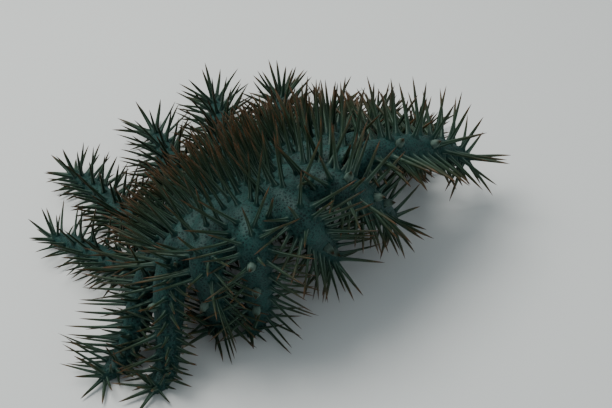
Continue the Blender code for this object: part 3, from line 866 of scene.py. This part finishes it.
def arm_spines(arm, thicket):
    """Spines in rows along one arm."""
    for degrees, first, last, spacing, length, lean, bend in rows_of(arm):
        count = max(2, round(arm.length * (last - first) / spacing))
        for i in range(count):
            wander = draw.uniform(-ROW_WANDER, ROW_WANDER)
            t = first + (last - first) * (i + wander) / (count - 1)
            t = min(LAST_PLACE, max(FIRST_PLACE, t))
            turn = degrees + draw.uniform(-ROW_TURN_WANDER, ROW_TURN_WANDER)
            forward, _, _ = arm.frame(t)
            root = arm.surface(t, turn)
            away = arm.normal(t, turn) + forward * (lean + OUTWARD_LEAN * max(0.0, t - SOLE_STARTS))
            if root.z < LOW_ROOT and abs(degrees) < LOW_SIDES:
                away.z += LOW_LIFT
            taper = 1.0 - OUTWARD_TAPER * t
            reach = length * taper * draw.uniform(*ROW_VARIES)
            size = SHAFT_RADIUS * taper * draw.uniform(*ROW_VARIES)
            size *= THINNER_SHORT if length < SHORT_SPINE else 1.0
            warmth = draw.uniform(*ROW_WARMTH)
            curl = forward * bend + scatter(CURL)
            size *= 1.0 + THICKER_RIGHT * rightness(root)
            if arm.number in FAR_ARMS:
                size *= FAR_THICKER
            if arm.number in BARE_RIDGES and arm.number not in LONG_SIDED:
                size *= NEAR_THINNER
            thicket.place(arm.group, root, away.normalized(), curl, reach, size,
                          spot_on_arm(arm, t, turn), warmth, loose=ROW_LOOSENESS)


def tip_tuft(arm, thicket):
    """Spines that spread from the arm's tip, lifted where the tip is low."""
    forward, side, up = arm.frame(1.0)
    far = arm.number in FAR_TUFTS
    lift = FAR_TUFT_LIFT if far else TUFT_LIFT
    near = SHORT_TUFT_SPINE if arm.number in SHORT_TUFTS else TUFT_SPINE
    lengths = FAR_TUFT_SPINE if far else near
    warmths = BROWN_TUFT_WARMTH if arm.number in BROWN_TUFTS else TUFT_WARMTH
    thickness = TUFT_THICKNESS * (FAR_THICKER if arm.number in FAR_ARMS else 1.0)
    for i in range(TIP_TUFT):
        turn = TUFT_TURN * i
        spread = math.radians(TUFT_LEAST_SPREAD + TUFT_SPREAD * math.sqrt((i + 0.5) / TIP_TUFT))
        around = side * math.sin(math.radians(turn)) + up * math.cos(math.radians(turn))
        away = forward * math.cos(spread) + around * math.sin(spread)
        root = arm.centre(TUFT_AT) + away * TUFT_RADIUS
        reach = draw.uniform(*lengths)
        if root.z < LOW_TUFT:
            away = (away + Vector((0.0, 0.0, lift))).normalized()
        spot = spot_on_arm(arm, TUFT_MARK, (turn + 180.0) % 360.0 - 180.0)
        curl = scatter(CURL)
        thicket.place(arm.group, root, away, curl, reach, SHAFT_RADIUS * thickness, spot,
                      draw.uniform(*warmths), spacing=TUFT_SPACING)


def under_spines(thicket):
    """Blunt spines that guard the mouth, two at each plate, and a few rings on the underside."""
    for radius, count, length, spread in UNDER_RINGS:
        for i in range(count):
            degrees = 360.0 * (i + 0.5) / count + draw.uniform(-UNDER_WANDER, UNDER_WANDER)
            under = -0.5 * DISC_THICKNESS * rim_share(radius)
            root = disc_point(radius, degrees, under)
            below = disc_point(radius * spread, degrees, under - UNDER_STEP)
            thicket.place("under_spines", root, (below - root).normalized(), Vector(),
                          length * draw.uniform(*UNDER_LENGTH_VARIES), SHAFT_RADIUS * UNDER_SIZE,
                          spot_on_disc(UNDER_CIRCLE, radius, degrees),
                          draw.uniform(*UNDER_WARMTH))


class Tubes:
    """Slender tubes gathered into one mesh, with their place on both UV maps."""

    def __init__(self, sides):
        self.sides = sides
        self.vertices, self.faces, self.uvs, self.corners = [], [], [], []

    def ring(self, middle, axis, radius, v, spot, turn=0.0, edges=0.0, flutes=0.0):
        """A ring of vertices, three-edged or fluted by these shares, none under the floor."""
        first = axis.orthogonal().normalized()
        second = axis.cross(first)
        for i in range(self.sides):
            angle = 2.0 * math.pi * i / self.sides
            wave = 1.0 + edges * math.cos(EDGES * angle)
            wave += flutes * math.cos(FLUTES * angle + turn)
            outward = first * math.cos(angle + turn) + second * math.sin(angle + turn)
            point = middle + outward * (radius * wave)
            point.z = max(point.z, FLOOR_SKIM)
            self.vertices.append(point)
        for i in range(self.sides + 1):
            u = i / self.sides
            self.uvs.append((u, v, spot[0] + (u - 0.5) * PATCH, spot[1] + (v - 0.5) * PATCH))

    def close(self, rings):
        """Skin the last rings into a tube and close its end."""
        sides = self.sides
        base = len(self.vertices) - rings * sides
        uv_base = len(self.uvs) - rings * (sides + 1)
        for ring in range(rings - 1):
            a, c = base + ring * sides, uv_base + ring * (sides + 1)
            b, d = a + sides, c + sides + 1
            for i in range(sides):
                j = (i + 1) % sides
                self.faces.append((a + i, a + j, b + j, b + i))
                self.corners.append((c + i, c + i + 1, d + i + 1, d + i))
        self.faces.append(tuple(b + i for i in range(sides)))
        self.corners.append(tuple(d + i for i in range(sides)))

    def mesh(self, name, **numbers):
        """The mesh, with its numbers, one value a vertex."""
        mesh = bpy.data.meshes.new(name)
        mesh.from_pydata(self.vertices, [], self.faces)
        corners = np.array([corner for face in self.corners for corner in face], int)
        table = np.array(self.uvs, np.float32)
        for layer, values in (("Along", table[:, :2]), ("OFBake", table[:, 2:])):
            uv = mesh.uv_layers.new(name=layer)
            uv.data.foreach_set("uv", values[corners].ravel())
        for key, values in numbers.items():
            attribute = mesh.attributes.new(key, "FLOAT", "POINT")
            attribute.data.foreach_set("value", np.array(values, np.float32))
        mesh.shade_smooth()
        mesh.update()
        return mesh


def spine_mesh(name, spines):
    """All spines of a group: fluted sheaths at the base, slim shafts and three-edged points."""
    tubes = Tubes(SPINE_SIDES)
    warm, pale = [], []
    for _, root, heading, lead, length, size, spot, warmth, stub in spines:
        turn = draw.uniform(0.0, 2.0 * math.pi)
        profile = STUB_PROFILE if stub else PROFILE
        for s, k in profile:
            bow = (lead - heading) * (BOW * s * (1.0 - s)) if s > 0.0 else Vector()
            middle = root + (heading * s + bow) * length
            edges = EDGE_DEPTH * min(1.0, max(0.0, (s - EDGES_FROM) / EDGES_RUN))
            flutes = FLUTE_DEPTH * max(0.0, 1.0 - max(0.0, s) / FLUTES_UNTIL)
            up = min(1.0, max(0.0, s))
            tubes.ring(middle, heading, size * k, up, spot, turn, edges, flutes)
        tubes.close(len(profile))
        warm += [warmth] * (len(profile) * SPINE_SIDES)
        pale += [1.0 if stub else 0.0] * (len(profile) * SPINE_SIDES)
    return tubes.mesh(name, warmth=warm, pale=pale)


def feet_places(arms):
    """Root, direction, length and place on the map of each foot: two rows to each furrow."""
    places = []
    for arm in arms:
        count = int(arm.length * FOOTED_SHARE / FOOT_SPACING)
        for i in range(count):
            t = FIRST_FOOT + FEET_RUN * i / (count - 1)
            centre, side, up, width, height = arm.section(t)
            deep = height * FOOT_ROOT_DEPTH
            for hand in (-1.0, 1.0):
                root = centre + side * (hand * width * FOOT_ROOT_SIDE) - up * deep
                away = side * (hand * FOOT_SPLAY) - up + Vector((0.0, 0.0, -FOOT_DROP))
                length = deep + draw.uniform(0.0, LONGER_FOOT)
                spot = spot_on_arm(arm, t, FURROW_TURN * hand)
                places.append((root, away.normalized(), length, spot))
        for i in range(DISC_FEET):
            radius = FIRST_DISC_FOOT + FOOT_SPACING * i
            under = -0.5 * DISC_THICKNESS * rim_share(radius)
            for hand in (-1.0, 1.0):
                turn = math.degrees(hand * DISC_FOOT_SIDE / radius)
                root = disc_point(radius, arm.root_degrees + turn, under + DISC_FOOT_SUNK)
                splayed = arm.root_degrees + DISC_FOOT_SPLAY * turn
                end = disc_point(radius, splayed, under - DISC_FOOT_FALL)
                length = draw.uniform(*DISC_FOOT_LENGTHS)
                spot = spot_on_arm(arm, 0.0, FURROW_TURN * hand)
                places.append((root, (end - root).normalized(), length, spot))
    return places


def tube_feet(arms):
    """Tube feet that end in small suckers, none of them through the floor."""
    tubes = Tubes(FOOT_SIDES)
    for root, away, length, spot in feet_places(arms):
        if away.z < 0.0:
            length = min(length, (root.z - FOOT_CLEARANCE) / -away.z)
        if length < SHORTEST_FOOT:
            continue
        for s, k in FOOT_PROFILE:
            tubes.ring(root + away * (length * s), away, FOOT_RADIUS * k, s, spot)
        tubes.close(len(FOOT_PROFILE))
    return tubes.mesh("tube_feet")


def mouth_object():
    """The mouth: a ring of paired plates round a soft, folded opening."""
    bm = bmesh.new()
    rows = []
    for radius, height in MOUTH_SHAPE:
        row = []
        for j in range(MOUTH_AROUND):
            degrees = 360.0 * j / MOUTH_AROUND
            plates = math.cos(math.radians(degrees * ARM_COUNT))
            folds = math.cos(math.radians(degrees * FOLD_COUNT))
            lift = PLATE_LIFT * plates if radius > PLATES_FROM else FOLD_LIFT * folds
            point = disc_point(radius, degrees, -0.5 * DISC_THICKNESS + height + lift)
            row.append(bm.verts.new(point))
        rows.append(row)
    bridge(bm, rows)
    bm.faces.new(rows[-1])
    bmesh.ops.recalc_face_normals(bm, faces=bm.faces)
    mesh = bpy.data.meshes.new("mouth_plates")
    bm.to_mesh(mesh)
    bm.free()
    mesh.shade_smooth()
    return new_object("mouth_plates", mesh)


def node(tree, kind, inputs=None, **settings):
    """A shader node with its settings, and with its inputs fed."""
    made = tree.nodes.new(kind)
    for key, value in settings.items():
        setattr(made, key, value)
    feed(tree, made, inputs or {})
    return made


def feed(tree, target, inputs):
    """Set a node's inputs, or link them where the value is another node's output."""
    for key, value in inputs.items():
        if isinstance(value, bpy.types.NodeSocket):
            tree.links.new(value, target.inputs[key])
        else:
            target.inputs[key].default_value = value


def ramp(tree, factor, stops):
    """Colours along a factor: each stop is a place and a colour or a grey."""
    made = node(tree, "ShaderNodeValToRGB", {"Fac": factor})
    elements = made.color_ramp.elements
    while len(elements) < len(stops):
        elements.new(0.5)
    for element, (place, colour) in zip(elements, stops):
        element.position = place
        element.color = (*(colour if isinstance(colour, tuple) else (colour,) * 3), 1.0)
    return made.outputs["Color"]


def mix_colour(tree, factor, first, second, blend="MIX"):
    inputs = {MIX_FACTOR: factor, MIX_FIRST: first, MIX_SECOND: second}
    made = node(tree, "ShaderNodeMix", inputs, data_type="RGBA", blend_type=blend)
    return made.outputs[MIX_RESULT]


def calculate(tree, operation, *values):
    return node(tree, "ShaderNodeMath", dict(enumerate(values)), operation=operation).outputs[0]


def new_material(name):
    """A material, its node tree and its shader."""
    made = bpy.data.materials.new(name)
    made.use_nodes = True
    tree = made.node_tree
    return made, tree, tree.nodes["Principled BSDF"]


def object_place(tree):
    return node(tree, "ShaderNodeTexCoord").outputs["Object"]


def along_uv(tree):
    """Place round and along a spine or a foot, each from 0 to 1."""
    uv = node(tree, "ShaderNodeUVMap", uv_map="Along").outputs["UV"]
    split = node(tree, "ShaderNodeSeparateXYZ", {0: uv})
    return split.outputs[0], split.outputs[1]


def number_of(tree, name):
    """A number that the mesh carries at each vertex."""
    return node(tree, "ShaderNodeAttribute", attribute_name=name).outputs["Fac"]


def cloud(tree, place, scale, detail=2.0):
    """Soft noise of this scale."""
    inputs = {"Vector": place, "Scale": scale, "Detail": detail}
    return node(tree, "ShaderNodeTexNoise", inputs).outputs["Fac"]


def bump(tree, shader, height, strength, distance):
    inputs = {"Height": height, "Strength": strength, "Distance": distance}
    feed(tree, shader, {"Normal": node(tree, "ShaderNodeBump", inputs).outputs["Normal"]})


def skin_material():
    """Moist blue-grey skin: a pale mesh round dark papulae, patches of light and dark."""
    made, tree, shader = new_material("starfish_skin")
    place = object_place(tree)
    tone = ramp(tree, cloud(tree, place, scale=55.0, detail=4.0), SKIN_TONES)
    bend = node(tree, "ShaderNodeTexNoise", {"Vector": place, "Scale": 260.0}).outputs["Color"]
    inputs = {0: bend, 1: (SKIN_BEND, SKIN_BEND, SKIN_BEND), 2: place}
    shifted = node(tree, "ShaderNodeVectorMath", inputs, operation="MULTIPLY_ADD").outputs[0]
    cells = {"Vector": shifted, "Scale": PAPULA_SCALE}
    middles = node(tree, "ShaderNodeTexVoronoi", cells)
    dots = ramp(tree, middles.outputs["Distance"], PAPULA_DOTS)
    edges = node(tree, "ShaderNodeTexVoronoi", cells, feature="DISTANCE_TO_EDGE")
    lines = ramp(tree, edges.outputs["Distance"], MESH_LINES)
    colour = mix_colour(tree, calculate(tree, "MULTIPLY", lines, MESH_DEPTH), tone, SKIN_MESH)
    colour = mix_colour(tree, calculate(tree, "MULTIPLY", dots, PAPULA_DEPTH), colour, PAPULAE)
    grain = cloud(tree, place, scale=1500.0, detail=3.0)
    feed(tree, shader, {
        "Base Color": mix_colour(tree, GRAIN_DEPTH, colour, grain, "OVERLAY"),
        "Roughness": ramp(tree, grain, SKIN_ROUGHNESS),
        "Specular IOR Level": 0.16,
        "Sheen Weight": 0.05,
        "Sheen Tint": SHEEN_OF_SKIN,
    })
    domes = calculate(tree, "MULTIPLY", dots, DOT_HEIGHT)
    height = calculate(tree, "ADD", domes, calculate(tree, "MULTIPLY", grain, GRAIN_HEIGHT))
    bump(tree, shader, height, strength=0.7, distance=0.0005)
    return made


def spine_material():
    """Sheathed base in the skin's colour with thin pale lines painted on as painted highlight for
    its lit edges, olive shaft, orange-red end.
    """
    made, tree, shader = new_material("starfish_spines")
    place = object_place(tree)
    around, up = along_uv(tree)
    wander = calculate(tree, "SUBTRACT", cloud(tree, place, scale=420.0, detail=3.0), 0.5)
    along = calculate(tree, "ADD", up, calculate(tree, "MULTIPLY", wander, COLOUR_WANDER))
    cool, warm = ramp(tree, along, COOL_SPINE), ramp(tree, along, WARM_SPINE)
    colour = mix_colour(tree, number_of(tree, "warmth"), cool, warm)
    # Thin pale lines round the lower spine: painted highlight for the sheath's lit edges
    highlight_waves = calculate(tree, "SINE", calculate(tree, "MULTIPLY", around, PAINTED_HIGHLIGHT_TURNS))
    lines = calculate(tree, "POWER", calculate(tree, "MAXIMUM", highlight_waves, 0.0), PAINTED_HIGHLIGHT_SHARPNESS)
    low = ramp(tree, along, PAINTED_HIGHLIGHT_PART)
    pale = calculate(tree, "MULTIPLY", lines, low)
    colour = mix_colour(tree, calculate(tree, "MULTIPLY", pale, PALE_DEPTH), colour, PAINTED_EDGE_HIGHLIGHT)
    bulb = ramp(tree, up, BULB_PART)
    bulb = calculate(tree, "MULTIPLY", number_of(tree, "pale"), bulb)
    colour = mix_colour(tree, calculate(tree, "MULTIPLY", bulb, PALE_DEPTH), colour, BULBS)
    fine = cloud(tree, place, scale=1900.0)
    feed(tree, shader, {
        "Base Color": mix_colour(tree, GRAIN_DEPTH, colour, fine, "OVERLAY"),
        "Roughness": ramp(tree, along, SPINE_ROUGHNESS),
        "Specular IOR Level": 0.20,
        "Sheen Weight": 0.04,
        "Sheen Roughness": 0.30,
        "Sheen Tint": SHEEN_OF_SPINES,
    })
    bump(tree, shader, fine, strength=0.5, distance=0.0002)
    return made


def foot_material():
    """Buff tube feet with paler suckers."""
    made, tree, shader = new_material("starfish_tube_feet")
    _, up = along_uv(tree)
    grain = cloud(tree, object_place(tree), scale=1600.0)
    colour = mix_colour(tree, FOOT_GRAIN_DEPTH, ramp(tree, up, FOOT_TONES), grain, "OVERLAY")
    feed(tree, shader, {"Base Color": colour, "Roughness": 0.38})
    return made


def mouth_material():
    """Buff plates, in patches of lighter and darker tone."""
    made, tree, shader = new_material("starfish_mouth")
    patches = cloud(tree, object_place(tree), scale=300.0, detail=5.0)
    feed(tree, shader, {"Base Color": ramp(tree, patches, MOUTH_TONES), "Roughness": 0.50})
    bump(tree, shader, patches, strength=0.6, distance=0.0004)
    return made


def place_camera():
    """The photograph's viewing angle: looking down along +Y, rolled a little."""
    tilt, roll = math.radians(CAMERA_ELEVATION), math.radians(CAMERA_ROLL)
    forward = Vector((0.0, math.cos(tilt), -math.sin(tilt)))
    level = Vector((1.0, 0.0, 0.0))
    upright = level.cross(forward)
    right = level * math.cos(roll) + upright * math.sin(roll)
    up = upright * math.cos(roll) - level * math.sin(roll)
    across = (TARGET_PIXEL[0] - PHOTO_WIDTH / 2) / CAMERA_FOCAL
    down = (TARGET_PIXEL[1] - PHOTO_HEIGHT / 2) / CAMERA_FOCAL
    ray = forward + right * across - up * down
    target = Vector((*FOOTPRINT_SHIFT, 0.0))
    lens = bpy.data.cameras.new("camera")
    lens.sensor_width = SENSOR_WIDTH
    lens.lens = CAMERA_FOCAL * SENSOR_WIDTH / PHOTO_WIDTH
    lens.clip_start, lens.clip_end = NEAR_CLIP, FAR_CLIP
    camera = new_object("camera", lens)
    turn = Matrix((right, up, -forward)).transposed()
    camera.matrix_world = Matrix.Translation(target - ray * CAMERA_DISTANCE) @ turn.to_4x4()
    bpy.context.scene.camera = camera


def studio():
    """A pale floor, an even sky and two lamps that face the middle."""
    mesh = bpy.data.meshes.new("floor")
    corners = [(x * FLOOR_HALF, y * FLOOR_HALF, 0) for x, y in ((-1, -1), (1, -1), (1, 1), (-1, 1))]
    mesh.from_pydata(corners, [], [(0, 1, 2, 3)])
    floor = new_object("floor", mesh)
    made, tree, shader = new_material("floor_pale")
    feed(tree, shader, {"Base Color": FLOOR_COLOUR, "Roughness": 0.85})
    mesh.materials.append(made)
    world = bpy.data.worlds.new("studio")
    world.use_nodes = True
    sky = world.node_tree.nodes["Background"]
    feed(world.node_tree, sky, {"Color": SKY_COLOUR, "Strength": SKY_STRENGTH})
    bpy.context.scene.world = world
    for name, place, power, colour in LIGHTS:
        light = bpy.data.lights.new(name, "AREA")
        light.shape = "DISK"
        light.size = LIGHT_SIZE
        light.energy = power
        light.color = colour
        lamp = new_object(name, light)
        lamp.location = place
        lamp.rotation_euler = (-Vector(place)).to_track_quat("-Z", "Y").to_euler()


def main():
    arms = [Arm(index) for index in range(ARM_COUNT)]
    skin = skin_object(arms)
    skin.data.materials.append(skin_material())
    thicket = Thicket(skin)
    stub_spines(arms, thicket)
    disc_spines(thicket)
    for arm in arms:
        arm_spines(arm, thicket)
        tip_tuft(arm, thicket)
    under_spines(thicket)
    spines = spine_material()
    groups = {}
    for spine in thicket.spines:
        groups.setdefault(spine[0], []).append(spine)
    shown = []
    for name in sorted(groups):
        made = new_object(name, spine_mesh(name, groups[name]))
        made.data.materials.append(spines)
        shown.append(made)
    feet = new_object("tube_feet", tube_feet(arms))
    feet.data.materials.append(foot_material())
    mouth = mouth_object()
    mouth.data.materials.append(mouth_material())
    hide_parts("disc", *[f"arm_{index + 1:02d}" for index in range(ARM_COUNT)])
    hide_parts("mouth")
    for made in (skin, feet, *shown):
        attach(made, "root")
    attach(mouth, "root")
    for made in (skin, mouth, feet, *shown):
        count = sum(len(face.vertices) - 2 for face in made.data.polygons)
        print("piece", made.name, "triangles", count)
    print("spines", len(thicket.spines))
    studio()
    place_camera()


main()
